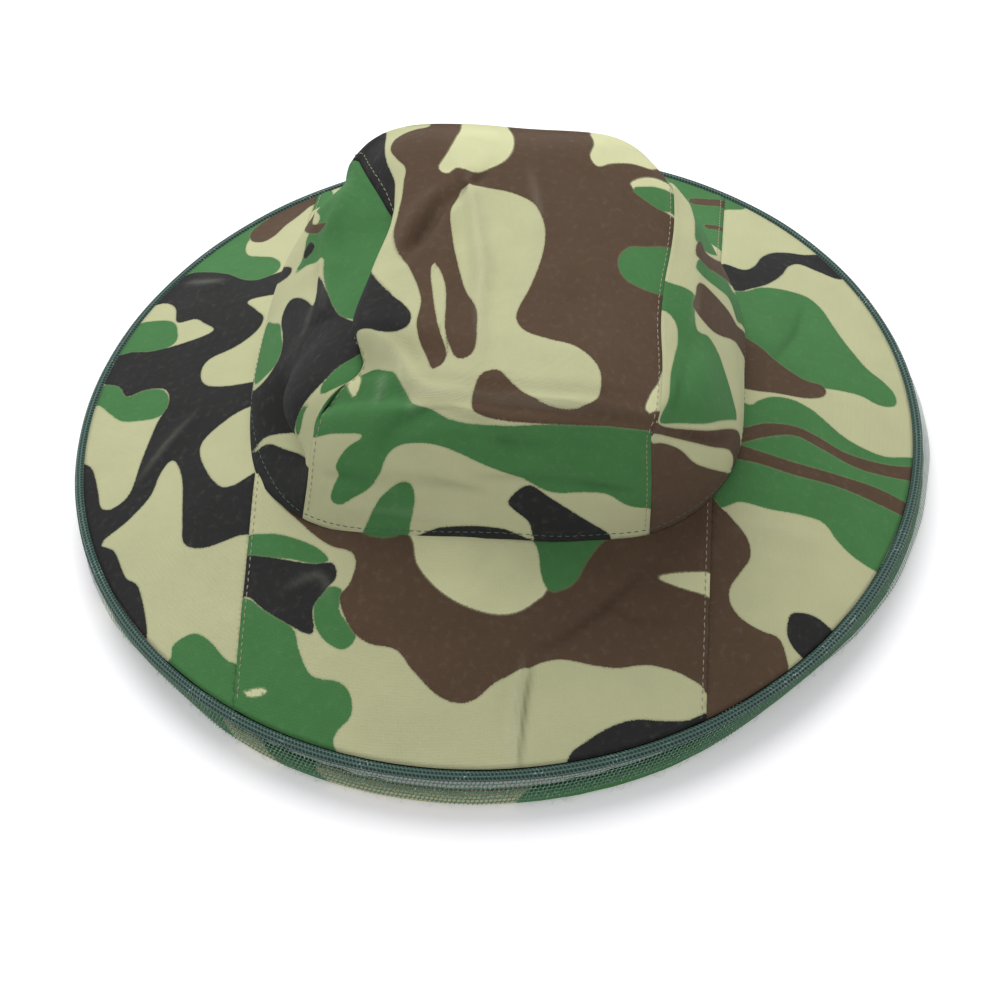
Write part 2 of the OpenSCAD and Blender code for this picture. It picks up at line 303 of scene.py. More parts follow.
SIDE_LEFT_PRINT = {
    "green": [
        [(-30, 95), (-22, 73), (-15, 66), (-5, 60), (5, 55), (15, 52), (25, 52), (32, 54), (42, 58),
         (50, 61), (58, 58), (70, 55), (84, 50), (96, 56), (100, 95)],
        [(-90, 95), (-90, 64), (-78, 61), (-74, 70), (-70, 82), (-69, 95)],
        [(-66, 95), (-66, 72), (-65, 68), (-60, 69), (-52, 78), (-48, 95)],
        [(-66, 62), (-69, 52), (-68, 46), (-66, 50), (-65, 58)],
        [(-17, 22), (-15, 28), (-8, 30), (0, 27), (8, 24), (13, 18), (18, 12), (10, 8), (0, 7), (-10, 7),
         (-16, 12)],
        [(24, 52), (28, 42), (29, 33), (33, 38), (38, 41), (44, 44), (46, 50), (50, 52), (58, 48), (62, 52),
         (64, 74), (52, 70), (40, 66), (28, 60)],
    ],
    "brown": [
        [(42, 56), (41, 50), (45, 44), (52, 39), (58, 38), (60, 44), (55, 47), (48, 47), (45, 53)],
    ],
    "black": [
        [(-49, 85), (-40, 84), (-30, 80), (-22, 72), (-15, 66), (-5, 60), (5, 55), (13, 51), (16, 48),
         (8, 48), (2, 47), (8, 42), (14, 36), (17, 30), (14, 26), (8, 25), (0, 28), (-8, 30), (-15, 28),
         (-19, 20), (-18, 10), (-14, 4), (-16, -4), (-40, -4), (-42, 10), (-50, 22), (-60, 30), (-66, 37),
         (-66, 46), (-65, 58), (-61, 67), (-54, 75)],
        [(-92, 42), (-80, 38), (-72, 30), (-66, 22), (-55, 15), (-46, 10), (-44, 3), (-46, -4), (-92, -4)],
        [(31, 30), (34, 31), (40, 25), (48, 17), (56, 9), (57, 6), (50, 6), (42, 12), (34, 20), (31, 26)],
        [(32, 40), (35, 46), (39, 45), (36, 40)],
    ],
}
SIDE_RIGHT_PRINT = {
    "green": [
        [(-80, 74), (-70, 61), (-60, 49), (-50, 39), (-42, 30), (-36, 24), (-33, 31), (-27, 39), (-20, 46),
         (-16, 54), (-17, 60), (-10, 63), (0, 64), (4, 66), (8, 74), (10, 84), (-9, 84), (-11, 76),
         (-18, 71), (-28, 70), (-38, 72), (-50, 74), (-66, 74)],
        [(17, 64), (16, 50), (17, 38), (14, 28), (20, 18), (26, 10), (40, 14), (34, 26), (30, 40), (26, 50),
         (26, 64)],
        [(36, 66), (38, 52), (44, 42), (52, 34), (62, 28), (74, 34), (80, 50), (70, 62), (50, 66)],
    ],
    "brown": [
        [(-95, 80), (-88, 68), (-80, 58), (-74, 48), (-70, 36), (-64, 26), (-56, 15), (-48, 5), (-44, -4),
         (-95, -4)],
        [(-85, 80), (-78, 68), (-68, 55), (-58, 43), (-48, 32), (-40, 22), (-34, 12), (-30, -4), (-40, -4),
         (-44, 10), (-50, 22), (-58, 33), (-66, 45), (-74, 56), (-84, 70), (-92, 82)],
        [(-6, 64), (-11, 55), (-10, 47), (-5, 38), (0, 28), (3, 18), (8, 8), (14, -4), (30, -4), (22, 10),
         (14, 22), (9, 32), (9, 45), (11, 62), (2, 64)],
        [(26, 65), (26, 50), (30, 38), (38, 26), (46, 16), (52, 10), (56, 20), (48, 32), (40, 42), (36, 52),
         (37, 65)],
    ],
    "black": [
        [(66, -4), (70, 8), (78, 16), (95, 20), (95, -4)],
    ],
}
BRIM_LEFT_PRINT = {
    "green": [
        [(-186, 55), (-170, 66), (-160, 65), (-151, 60), (-147, 52), (-148, 42), (-170, 40), (-186, 44)],
        [(-186, 26), (-172, 26), (-165, 15), (-156, 16), (-147, 12), (-143, 3), (-146, -4), (-156, -3),
         (-165, 0), (-172, 7), (-178, 14), (-186, 18)],
        [(-168, 84), (-150, 94), (-130, 86), (-120, 77), (-112, 73), (-104, 77), (-103, 85), (-108, 93),
         (-115, 97), (-121, 101), (-124, 110), (-123, 120), (-118, 130), (-125, 145), (-160, 115)],
        [(-125, -123), (-121, -120), (-115, -119), (-108, -124), (-100, -133), (-88, -140), (-88, -170),
         (-130, -140), (-125, -128)],
    ],
    "brown": [
        [(-124, 124), (-122, 116), (-116, 112), (-111, 116), (-107, 125), (-102, 133), (-97, 143),
         (-90, 150), (-102, 158), (-115, 140), (-122, 130)],
    ],
    "black": [
        [(-170, 80), (-152, 98), (-140, 95), (-128, 86), (-120, 78), (-112, 74), (-104, 76), (-88, 79),
         (-88, 57), (-113, 58), (-109, 49), (-104, 41), (-106, 33), (-115, 27), (-127, 24), (-130, 17),
         (-127, 8), (-118, 3), (-104, 0), (-88, -2), (-88, -14), (-104, -15), (-114, -19), (-123, -27),
         (-122, -37), (-114, -51), (-106, -55), (-88, -50), (-88, -76), (-102, -79), (-116, -81),
         (-125, -77), (-127, -66), (-130, -44), (-136, -32), (-141, -38), (-144, -49), (-153, -59),
         (-164, -67), (-157, -73), (-150, -87), (-143, -94), (-137, -119), (-150, -122), (-176, -85),
         (-190, -40), (-186, -20), (-176, -23), (-170, -38), (-167, -48), (-161, -50), (-154, -44),
         (-151, -26), (-147, -8), (-143, 2), (-146, 12), (-156, 16), (-165, 15), (-171, 24), (-186, 33),
         (-186, 44), (-170, 46), (-158, 42), (-140, 41), (-128, 43), (-134, 51), (-139, 56), (-148, 58),
         (-151, 70), (-158, 78)],
    ],
}
BRIM_FRONT_PRINT = {
    "green": [
        [(-104, -80), (-92, -80), (-82, -82), (-70, -88), (-62, -94), (-60, -98), (-66, -98), (-76, -94),
         (-88, -91), (-104, -88)],
        [(-106, -106), (-94, -108), (-86, -114), (-77, -120), (-72, -125), (-70, -132), (-65, -142),
         (-60, -145), (-52, -147), (-47, -152), (-46, -160), (-51, -165), (-53, -170), (-50, -178),
         (-60, -190), (-106, -170)],
        [(-64, -112), (-58, -109), (-53, -111), (-54, -118), (-50, -124), (-46, -128), (-48, -133),
         (-53, -134), (-60, -129), (-64, -122)],
    ],
    "brown": [
        [(-84, -64), (-72, -80), (-60, -91), (-51, -95), (-48, -100), (-50, -108), (-54, -113), (-52, -120),
         (-47, -128), (-40, -133), (-29, -136), (-22, -144), (-12, -153), (-3, -156), (4, -154), (12, -147),
         (24, -141), (36, -137), (50, -138), (60, -138), (72, -135), (84, -136), (92, -139), (106, -143),
         (106, -50), (60, -70), (0, -76), (-50, -70)],
    ],
    "sand": [
        [(-24, -82), (-24, -95), (-22, -103), (-14, -112), (-4, -118), (8, -121), (18, -120), (26, -115),
         (31, -108), (32, -82)],
        [(75, -99), (82, -96), (90, -94), (102, -93), (102, -103), (90, -102), (82, -101)],
        [(-92, -147), (-85, -146), (-82, -148), (-88, -149)],
    ],
    "leaf": [
        [(18, -80), (26, -94), (28, -104), (31, -110), (36, -110), (42, -106), (46, -98), (51, -90),
         (58, -80)],
        [(-50, -82), (-44, -89), (-34, -91), (-28, -88), (-28, -80)],
    ],
    "black": [
        [(-106, -88), (-90, -90), (-78, -94), (-66, -98), (-58, -99), (-56, -105), (-60, -110), (-65, -116),
         (-64, -126), (-68, -126), (-76, -121), (-86, -114), (-94, -107), (-106, -104)],
        [(42, -174), (48, -168), (58, -161), (68, -157), (80, -156), (90, -154), (102, -148), (106, -162),
         (60, -186), (42, -186)],
    ],
}
BRIM_RIGHT_PRINT = {
    "green": [
        [(96, 58), (108, 68), (113, 73), (120, 76), (128, 77), (135, 76), (141, 70), (145, 62), (150, 52),
         (155, 44), (161, 36), (168, 31), (173, 25), (173, 18), (166, 15), (158, 17), (148, 16), (136, 14),
         (122, 18), (96, 26)],
        [(96, -10), (110, -9), (114, -5), (120, 0), (128, 2), (136, 0), (142, -4), (150, -10), (158, -13),
         (168, -14), (188, -12), (188, -60), (174, -76), (164, -74), (155, -70), (148, -64), (142, -57),
         (132, -56), (120, -57), (108, -57), (96, -60)],
        [(88, 140), (100, 142), (106, 147), (102, 160), (88, 160)],
    ],
    "brown": [
        [(96, 33), (112, 30), (120, 24), (127, 19), (134, 16), (141, 16), (143, 12), (140, 8), (133, 5),
         (122, 3), (110, 0), (96, 0)],
        [(96, -27), (108, -22), (118, -16), (130, -13), (140, -15), (152, -19), (170, -18), (190, -12),
         (190, -20), (172, -24), (156, -25), (142, -21), (130, -18), (118, -23), (108, -29), (96, -35)],
        [(96, -31), (112, -31), (128, -32), (148, -32), (168, -33), (190, -41), (190, -48), (172, -42),
         (150, -38), (130, -38), (114, -37), (96, -38)],
        [(88, -61), (100, -63), (105, -67), (111, -74), (112, -82), (108, -90), (104, -98), (105, -105),
         (110, -110), (118, -113), (124, -114), (127, -120), (128, -130), (120, -155), (88, -165)],
    ],
    "black": [
        [(128, -106), (130, -102), (136, -101), (142, -103), (152, -112), (146, -120), (138, -122),
         (132, -119), (128, -113)],
        [(96, 84), (106, 84), (111, 90), (114, 99), (119, 106), (126, 110), (133, 112), (142, 116),
         (156, 112), (150, 99), (140, 100), (131, 102), (126, 97), (123, 88), (117, 78), (110, 71),
         (104, 66), (96, 68)],
    ],
}
BRIM_BACK_PRINT = {
    "green": [
        [(66, 175), (74, 150), (80, 128), (88, 108), (94, 98), (106, 98), (106, 165), (80, 185)],
        [(-4, 172), (14, 163), (34, 166), (50, 178), (40, 192), (-8, 192)],
        [(-28, 82), (-8, 92), (4, 104), (22, 104), (34, 94), (38, 82)],
        [(-106, 165), (-94, 163), (-88, 150), (-92, 138), (-106, 134)],
    ],
    "brown": [
        [(80, 146), (90, 149), (106, 150), (106, 143), (92, 142), (82, 141)],
        [(88, 121), (96, 121), (106, 121), (106, 117), (96, 117), (89, 117)],
        [(-74, 104), (-46, 112), (-16, 132), (14, 132), (38, 118), (58, 98), (64, 112), (48, 136),
         (20, 152), (-14, 154), (-44, 138), (-72, 128), (-86, 114)],
    ],
    "black": [
        [(-66, 146), (-50, 152), (-36, 166), (-24, 188), (-64, 190), (-84, 172), (-80, 154)],
        [(40, 104), (52, 96), (64, 84), (76, 84), (72, 100), (58, 108)],
    ],
}
PRINTS = {
    "crown_strip": STRIP_PRINT,
    "crown_side_left": SIDE_LEFT_PRINT,
    "crown_side_right": SIDE_RIGHT_PRINT,
    "brim_left_panel": BRIM_LEFT_PRINT,
    "brim_front_panel": BRIM_FRONT_PRINT,
    "brim_right_panel": BRIM_RIGHT_PRINT,
    "brim_back_panel": BRIM_BACK_PRINT,
}
# Distances from an outline are kept up to this, in millimetres.
PRINT_REACH = 12


def inside_distance(places, outline):
    """How far each place lies inside a closed curve: more than zero inside it, less than zero outside."""
    curve = spline(outline, 8 * len(outline), closed=True)
    best = np.full(len(places), 1e9)
    inside = np.zeros(len(places), bool)
    x, y = places[:, 0], places[:, 1]
    for a, b in zip(curve[:-1], curve[1:]):
        edge = b - a
        t = np.clip(((places - a) @ edge) / max(edge @ edge, 1e-9), 0, 1)
        near = a + t[:, None] * edge
        best = np.minimum(best, np.hypot(x - near[:, 0], y - near[:, 1]))
        if a[1] != b[1]:
            crosses = (a[1] > y) != (b[1] > y)
            inside ^= crosses & (x < a[0] + (y - a[1]) * edge[0] / edge[1])
    return np.where(inside, best, -best)


def paint(piece, cloth_xy, name):
    """Stores, at every point of a panel, how far it lies inside each layer of the print."""
    for layer in LAYERS:
        reach = np.full(len(cloth_xy), -float(PRINT_REACH))
        for outline in PRINTS[name].get(layer, ()):
            reach = np.maximum(reach, inside_distance(cloth_xy, outline))
        store(piece.data, "print_" + layer, np.minimum(reach, PRINT_REACH))


# ---------------------------------------------------------------- materials
SAND = (0.565, 0.575, 0.335)
GREEN = (0.058, 0.178, 0.058)
BROWN = (0.088, 0.056, 0.035)
BLACK = (0.021, 0.022, 0.021)
LAYER_COLOURS = {"green": GREEN, "brown": BROWN, "sand": SAND, "leaf": GREEN, "black": BLACK}
# Scale of a wave texture whose waves are one millimetre apart.
WAVE_SCALE = 0.314


class Shader:
    """Builds a node material: each call adds one node and returns its output."""

    def __init__(self, name):
        self.material = bpy.data.materials.new(name)
        self.material.use_nodes = True
        self.tree = self.material.node_tree
        self.surface = self.tree.nodes["Principled BSDF"]

    def plug(self, socket, value):
        if isinstance(value, bpy.types.NodeSocket):
            self.tree.links.new(value, socket)
        elif isinstance(value, tuple) and len(value) == 3 and socket.type == "RGBA":
            socket.default_value = (*value, 1)
        else:
            socket.default_value = value

    def fill(self, node, values):
        """Plugs values into a node's inputs, each found by its name or its place."""
        for key, value in values.items():
            self.plug(node.inputs[key], value)

    def node(self, kind, **settings):
        made = self.tree.nodes.new(kind)
        for key, value in settings.items():
            setattr(made, key, value)
        return made

    def attribute(self, name, output="Fac"):
        return self.node("ShaderNodeAttribute", attribute_name=name).outputs[output]

    def math(self, operation, a, b=0.0, clamp=False):
        made = self.node("ShaderNodeMath", operation=operation, use_clamp=clamp)
        self.fill(made, {0: a, 1: b})
        return made.outputs[0]

    def times(self, a, b, clamp=False):
        return self.math("MULTIPLY", a, b, clamp)

    def plus(self, a, b):
        return self.math("ADD", a, b)

    def ramp(self, value, low, high, to_low=0.0, to_high=1.0):
        made = self.node("ShaderNodeMapRange", interpolation_type="SMOOTHSTEP")
        self.fill(made, dict(enumerate((value, low, high, to_low, to_high))))
        return made.outputs[0]

    def mix(self, share, a, b, blend="MIX"):
        made = self.node("ShaderNodeMix", data_type="RGBA", blend_type=blend)
        self.fill(made, {0: share, 6: a, 7: b})
        return made.outputs[2]

    def noise(self, place, scale, detail=2.0):
        made = self.node("ShaderNodeTexNoise")
        self.fill(made, {"Vector": place, "Scale": scale, "Detail": detail})
        return made.outputs["Fac"]

    def threads(self, place, pitch, direction):
        """Even ridges a pitch apart, as of the threads of a weave."""
        made = self.node("ShaderNodeTexWave", bands_direction=direction, wave_profile="SIN")
        self.fill(made, {"Vector": place, "Scale": WAVE_SCALE / pitch})
        return made.outputs["Fac"]

    def holes(self, place, across, up):
        """The holes of a net with staggered rows: one in the middle of each hole, zero on the threads."""
        axes = self.node("ShaderNodeSeparateXYZ")
        self.plug(axes.inputs[0], place)
        row = self.math("DIVIDE", axes.outputs[1], up)
        stagger = self.times(self.math("FLOOR", row), 0.5)
        slant = self.times(self.math("FRACT", row), 0.3)
        column = self.plus(self.math("DIVIDE", axes.outputs[0], across), self.plus(stagger, slant))
        waves = [self.math("SINE", self.times(turns, math.pi)) for turns in (row, column)]
        return self.times(*(self.math("ABSOLUTE", wave) for wave in waves))

    def object_place(self):
        return self.node("ShaderNodeTexCoord").outputs["Object"]

    def finish(self, colour, roughness, height, depth, bump, sheen=0.0, specular=0.3):
        """Plugs the surface in. depth is the height map's full height, in millimetres."""
        relief = self.node("ShaderNodeBump")
        self.fill(relief, {"Strength": bump, "Distance": depth * MM, "Height": height})
        look = {"Base Color": colour, "Roughness": roughness, "Specular IOR Level": specular}
        self.fill(self.surface, {**look, "Sheen Weight": sheen, "Normal": relief.outputs[0]})
        return self.material


def printed_cloth():
    """Thin plain-woven cloth carrying the print stored on each panel."""
    s = Shader("printed_cloth")
    place = s.attribute("cloth", "Vector")
    wobble = s.times(s.math("SUBTRACT", s.noise(place, 1.3, 3), 0.5), 1.1)
    colour = s.mix(s.noise(place, 0.05, 3), SAND, tuple(v * 0.86 for v in SAND))
    for layer in LAYERS:
        depth = s.plus(s.attribute("print_" + layer), wobble)
        base = LAYER_COLOURS[layer]
        tone = s.mix(s.noise(place, 0.06, 4), base, tuple(v * 1.25 for v in base))
        halo = s.times(s.ramp(depth, -0.9, -0.1), 0.35)
        rim = tuple(mix(a, b, 0.35) for a, b in zip(base, SAND))
        colour = s.mix(halo, colour, rim)
        colour = s.mix(s.ramp(depth, -0.25, 0.25), colour, tone)
    warp, weft = s.threads(place, 0.55, "X"), s.threads(place, 0.55, "Y")
    weave = s.times(warp, weft)
    slub = s.noise(place, 2.4, 4)
    worn = s.ramp(s.noise(place, 0.3, 6), 0.5, 0.8, 0.0, 0.045)
    colour = s.mix(worn, colour, (0.55, 0.56, 0.46))
    # Folds: lighter along their tops for wear and a painted highlight, darker along their bottoms as
    # painted shade.
    fold = s.attribute("fold")
    colour = s.mix(s.times(fold, 0.22, clamp=True), colour, (0.52, 0.53, 0.44))
    colour = s.mix(s.times(fold, -0.45, clamp=True), colour, (0, 0, 0))
    grain = s.mix(s.ramp(slub, 0.35, 0.65), (0.36, 0.36, 0.32), (0.64, 0.64, 0.60))
    colour = s.mix(0.3, colour, grain, "SOFT_LIGHT")
    colour = s.mix(s.times(s.math("SUBTRACT", 1.0, weave), 0.12), colour, (0, 0, 0), "MULTIPLY")
    wrinkle = s.times(s.noise(place, 0.16, 6), 3.0)
    height = s.plus(s.plus(weave, s.times(slub, 0.8)), wrinkle)
    roughness = s.ramp(slub, 0.2, 0.8, 0.72, 0.9)
    return s.finish(colour, roughness, height, 0.35, 0.5, sheen=0.02, specular=0.1)


# ---------------------------------------------------------------- crown
# The crown's hem is a rounded rectangle in plan: its half sizes, its middle, and the power that rounds it.
HEM_HALF_WIDTH, HEM_HALF_DEPTH = 105, 94
HEM_CENTRE = (3, 2)
ROUNDNESS = 3
HEM_LIFT = 0.8
# Where the centre strip's two edges meet the hem.
STRIP_FOOT_LEFT, STRIP_FOOT_RIGHT = -73, 72


def hem_y(x, side):
    """The crown's hem in plan: y on its front (side -1) or back (side 1) for a given x."""
    s = np.clip(np.abs(x - HEM_CENTRE[0]) / HEM_HALF_WIDTH, 0, 1)
    return HEM_CENTRE[1] + side * HEM_HALF_DEPTH * (1 - s**ROUNDNESS) ** (1 / ROUNDNESS)


def hem_point(x, y):
    """A place on the hem, which lies on the brim."""
    return np.array([x, y, brim_z(math.hypot(x, y)) + HEM_LIFT])


# The top run of each crown seam, from front to back.
LEFT_SEAM = [
    (-60, -57, 97), (-54, -51, 103), (-46, -44, 107), (-49, -28, 107),
    (-44, 0, 110), (-38, 29, 112), (-45, 44, 114), (-53, 60, 115), (-59, 75, 112),
]
RIGHT_SEAM = [
    (74, -84, 113), (77, -70, 117), (75, -26, 118.5), (77, 15, 118.5), (78, 50, 117), (75, 62, 110),
]
# Height of the top, how far its middle runs back past the seam ends, and the roll beside the left seam.
TOP_Z = 121
BACK_BOW = 27
ROLL_WIDTH, ROLL_REACH = 11, 6.5


def rounded_rise(foot, top, lean, power, n=240):
    """A curve from foot up to top. It leans evenly at first, and rounds over to level at the top."""
    t = np.linspace(0, math.pi / 2, n)
    up = np.sin(t) ** (2 / power)
    over = 1 - np.cos(t) ** (2 / power)
    across = lean * up + (1 - lean) * over
    flat = foot[:2] + (top[:2] - foot[:2]) * across[:, None]
    return np.column_stack([flat, foot[2] + (top[2] - foot[2]) * up])


def strip_over(u, left, right):
    """The top run of one fore-and-aft line of the strip, with the roll that hangs over its left seam."""
    across = mix(left, right, u)
    width = right[:, 0] - left[:, 0]
    t = np.linspace(0, 1, len(across))
    back = BACK_BOW * (1 - (2 * u - 1) ** 6) * smooth((t - 0.35) / 0.65)
    roll = ROLL_REACH * smooth((t - 0.12) / 0.12) * smooth((0.79 - t) / 0.14)
    w = np.clip(u * width / ROLL_WIDTH, 0, 1)
    back_dip, front_dip = 7 * smooth((t - 0.8) / 0.2) ** 2, 5 * smooth((0.14 - t) / 0.14) ** 2
    crowned = TOP_Z + 2 * (1 - (2 * t - 1) ** 4) - back_dip - front_dip
    right_edge = np.exp(-(1 - u) * width / 10)
    left_edge = 1 - np.sin(w * math.pi / 2) ** 0.7
    slope = (crowned - left[:, 2]) * np.exp(-u * width / 26) * (1 - smooth((t - 0.1) / 0.15))
    z = crowned - (crowned - left[:, 2]) * left_edge - (crowned - right[:, 2]) * right_edge
    z = np.minimum(z, crowned - slope)
    x = across[:, 0] - roll * np.sin(w * math.pi)
    return np.column_stack([x, across[:, 1] + back, z])


def strip_column(u, left, right, rows):
    """One fore-and-aft line of the centre strip. u runs from 0 at its left seam to 1 at its right one."""
    x = mix(STRIP_FOOT_LEFT, STRIP_FOOT_RIGHT, u)
    front, back = hem_point(x, hem_y(x, -1)), hem_point(x, hem_y(x, 1))
    over = strip_over(u, left, right)
    rise = rounded_rise(front, over[0], 0.6, 3.4 + 2.6 * u)
    fall = rounded_rise(back, over[-1], 0.5, 3.6)
    rise_rows, over_rows, fall_rows = rows
    return np.vstack([
        resample(rise, rise_rows)[:-1],
        resample(over, over_rows),
        resample(fall, fall_rows)[::-1][1:],
    ])


# Side panel profiles from hem to seam at the front, middle and back, as (share in, share up).
SIDE_PROFILES = {
    "left": (
        [(0, 0), (0.3, 0.2), (0.58, 0.38), (0.36, 0.5), (0.3, 0.64), (0.46, 0.86), (1, 1)],
        [(0, 0), (0.06, 0.2), (0.28, 0.48), (0.62, 0.78), (1, 1)],
        [(0, 0), (0.02, 0.2), (0.14, 0.5), (0.5, 0.85), (1, 1)],
    ),
    "right": (
        [(0, 0), (-0.1, 0.2), (-0.12, 0.42), (0.12, 0.72), (0.55, 0.93), (1, 1)],
        [(0, 0), (0.0, 0.2), (0.1, 0.48), (0.36, 0.76), (0.72, 0.92), (1, 1)],
        [(0, 0), (0.05, 0.22), (0.26, 0.5), (0.5, 0.74), (0.66, 0.9), (1, 1)],
    ),
}


def side_column(a, foot, top, profiles, edge, n):
    """One line of a side panel from hem to seam. Near its ends it takes on edge, the strip's own line."""
    front, middle, back = (spline(p, 240) for p in profiles)
    path = mix(mix(front, middle, smooth((a - 0.16) / 0.24)), back, smooth((a - 0.5) / 0.35))
    flat = foot[:2] + (top[:2] - foot[:2]) * path[:, :1]
    free = resample(np.column_stack([flat, foot[2] + (top[2] - foot[2]) * path[:, 1]]), n)
    share = (edge - edge[0]) @ (edge[-1] - edge[0]) / ((edge[-1] - edge[0]) @ (edge[-1] - edge[0]))
    sway = edge - edge[0] - share[:, None] * (edge[-1] - edge[0])
    bound = foot + share[:, None] * (top - foot) + sway
    return mix(bound, free, smooth(min(a, 1 - a) / 0.16))


UP, FRONT, BACK = (0, 0, 1), (0, -1, 0.2), (0, 1, 0)
LEFT, RIGHT = (-0.5, 0, 0.85), (0.75, 0, 0.65)
# Folds of the crown, each as its line, its width, its height (below zero for a valley) and its direction.
CREASES = [
    ([(-18, 71, 122), (-8, 49, 123), (0, 2, 124), (1, -21, 124), (4, -52, 122)], 3.5, 3.6, UP),
    ([(-12, 28, 124), (-8, 0, 125), (-6, -23, 124)], 3.5, -3.0, UP),
    ([(-17, 42, 123), (-23, 26, 122), (-32, 4, 124)], 3, -5.2, UP),
    ([(-24, 46, 122), (-31, 28, 122), (-37, 10, 122)], 3.5, 3.0, UP),
    ([(-20, 36, 123), (-12, 45, 123), (-2, 59, 122)], 3.5, -3.0, UP),
    ([(-48, -36, 119), (-40, -39, 119), (-29, -49, 115), (-20, -62, 114), (4, -67, 116)], 3, 3.0, UP),
    ([(4, -67, 116), (38, -73, 117), (75, -76, 116)], 3, 2.8, UP),
    ([(8, -80, 105), (40, -87, 107), (76, -86, 107)], 3, -4.6, FRONT),
    ([(-36, -78, 96), (-30, -74, 105), (-22, -73, 109), (-10, -74, 112), (10, -78, 113)], 4, -3.8, FRONT),
    ([(-62, -76, 78), (-42, -82, 81), (-18, -84, 83), (5, -87, 81)], 3.5, -2.4, FRONT),
    ([(3, -85, 88), (36, -87, 87), (68, -83, 79)], 3.5, -1.8, FRONT),
    ([(-58, -80, 66), (-30, -87, 68), (8, -91, 68)], 3, 1.2, FRONT),
    ([(83, 58, 110), (86, 31, 112), (88, 0, 111), (88, -25, 112)], 6, 2.2, RIGHT),
    ([(88, -26, 112), (85, -52, 114), (80, -71, 112)], 6, -2.0, RIGHT),
    ([(77, -77, 109), (92, -65, 91), (105, -49, 74)], 5, -2.0, RIGHT),
    ([(104, -20, 80), (102, 20, 76), (96, 50, 74)], 7, -1.6, RIGHT),
    ([(-60, 68, 109), (-65, 54, 106), (-70, 40, 99), (-70, 22, 96), (-68, 2, 96)], 3.5, 3.6, LEFT),
    ([(-30, -48, 118), (-25, -62, 113), (-22, -74, 108)], 3, 1.8, FRONT),
    ([(-40, -38, 118), (-37, -58, 110), (-42, -76, 92)], 3, 2.2, FRONT),
    ([(16, 60, 123), (22, 30, 124), (20, 0, 124)], 3, 1.2, UP),
    ([(-74, 8, 92), (-76, -14, 86), (-80, -30, 76)], 6, 1.8, UP),
    ([(-64, 26, 100), (-76, 30, 86), (-92, 34, 66)], 5, 1.4, UP),
    ([(-58, -8, 104), (-74, -4, 88), (-92, -8, 66)], 6, -1.8, UP),
    ([(-40, 96, 70), (-10, 98, 80), (30, 97, 76)], 7, 1.6, BACK),
    ([(-20, 92, 104), (14, 98, 90), (52, 88, 70)], 6, -1.8, BACK),
]
# Half width of the colour marked along a fold: wear and a painted highlight on its top, painted shade in
# its bottom.
FOLD_WEAR_AND_SHADE_WIDTH = 1.7


def along_fold(points, line):
    """Each point's distance from a fold's line, and the fold's strength there, which fades at both ends."""
    route = spline(line, 30)
    best = np.full(len(points), 1e9)
    where = np.zeros(len(points))
    for k, (a, b) in enumerate(zip(route[:-1], route[1:])):
        edge = b - a
        t = np.clip(((points - a) @ edge) / (edge @ edge), 0, 1)
        gap = np.linalg.norm(points - (a + t[:, None] * edge), axis=1)
        closer = gap < best
        best = np.where(closer, gap, best)
        where = np.where(closer, (k + t) / (len(route) - 1), where)
    return best, np.sin(np.pi * np.clip(where, 0.02, 0.98)) ** 0.6


def fold_height(points, line, width, height):
    """How far a fold lifts each point: crisp along its line, with a slight dip on either side."""
    gap, strength = along_fold(points, line)
    profile = np.exp(-gap / width) - 0.25 * np.exp(-(((gap - 1.8 * width) / width) ** 2))
    return height * strength * profile


def fold_wear_and_shade(points, folds):
    """How near each point is to the top of a fold (above zero) or the bottom of one (below zero). The cloth
    paints tops lighter, for wear and a painted highlight, and bottoms darker, as painted shade.
    """
    marks = np.zeros(len(points))
    for line, _, height, *_ in folds:
        gap, strength = along_fold(points, line)
        mark = strength * min(1, abs(height) / 2.5) * np.exp(-((gap / FOLD_WEAR_AND_SHADE_WIDTH) ** 2))
        marks += math.copysign(1, height) * mark
    return np.clip(marks, -1, 1)


def crumple(points):
    """The folds of the crown. Every crown piece goes through this."""
    for line, width, height, direction in CREASES:
        points = points + np.array(direction) * fold_height(points, line, width, height)[:, None]
    return points


def roughen(points, size, height, seed):
    """Gentle unevenness, up and down and sideways. The seed makes it the same in every run."""
    noise.seed_set(seed)
    out = np.array(points, float)
    for i, q in enumerate(out):
        out[i] += np.array(noise.noise_vector(Vector(q / size))) * height
    return out


# Grid of the strip: its rows up the front, over the top and down the back, and its columns, which lie
# closer together beside the left seam, where the roll is.
STRIP_ROWS = (40, 86, 40)
SIDE_COLUMNS = 110
STRIP_U = np.concatenate([np.linspace(0, 0.09, 12, endpoint=False), np.linspace(0.09, 1, 64)])


def crown_strip_points():
    """Grid of the centre strip: rows from the front hem to the back one, columns from left to right."""
    left, right = (spline(seam, STRIP_ROWS[1]) for seam in (LEFT_SEAM, RIGHT_SEAM))
    return np.stack([strip_column(u, left, right, STRIP_ROWS) for u in STRIP_U], axis=1)


